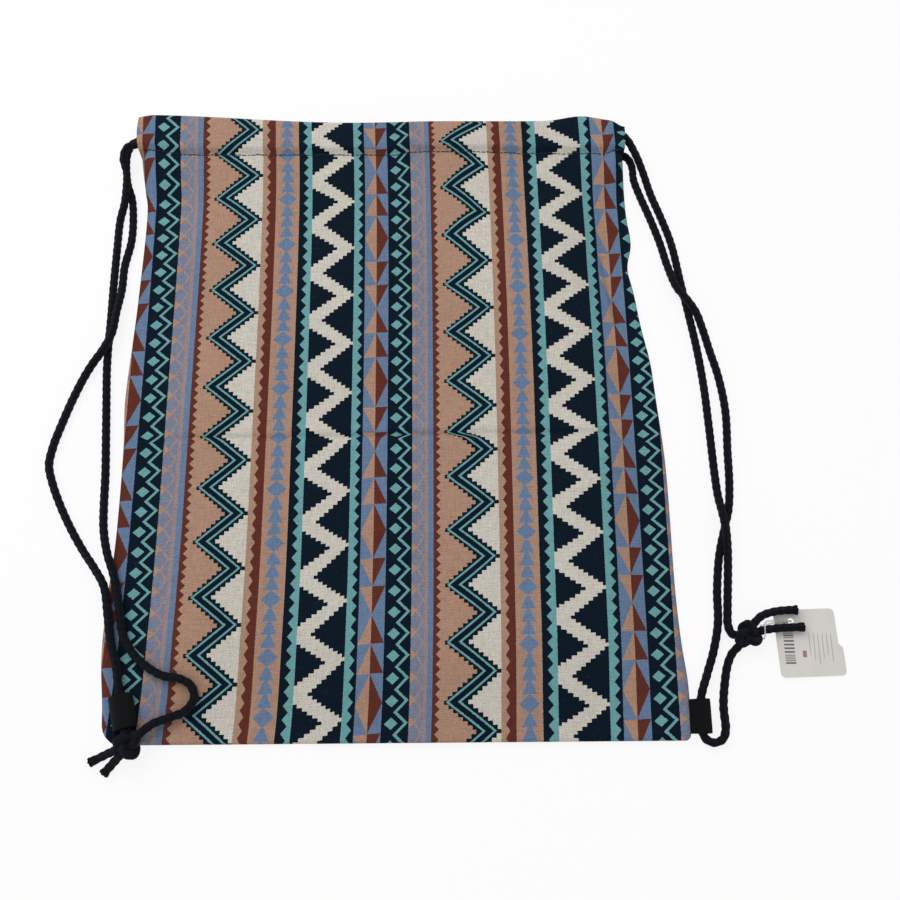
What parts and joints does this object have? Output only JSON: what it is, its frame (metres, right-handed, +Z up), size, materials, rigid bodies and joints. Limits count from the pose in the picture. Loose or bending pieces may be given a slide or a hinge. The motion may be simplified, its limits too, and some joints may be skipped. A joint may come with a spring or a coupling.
{
  "type": "backpack",
  "caption": "Flat drawstring backpack of printed canvas, with cords through a casing at the mouth and webbing tabs at the bottom corners.",
  "frame": {"origin": "bottom centre of the box around the bag and its tabs, on the face it rests on", "axes": "+Y from the bottom fold to the mouth, +Z up off the back panel, +X to the right as the front is looked at"},
  "size_m": [0.496, 0.4376, 0.0192],
  "materials": {
    "printed_canvas": "matt plain weave with printed stripes",
    "black_webbing": "matt woven tape",
    "navy_cord": "matt braid",
    "white_card": "coated card",
    "clear_plastic": "clear glossy filament"
  },
  "bodies": {
    "root": {"canvas_body": "printed_canvas", "left_tab": "black_webbing", "right_tab": "black_webbing", "left_cord": "navy_cord", "right_cord": "navy_cord", "left_knot": "navy_cord", "right_knot": "navy_cord", "hang_tag": "white_card", "tag_loop": "clear_plastic"}
  },
  "joints": []
}
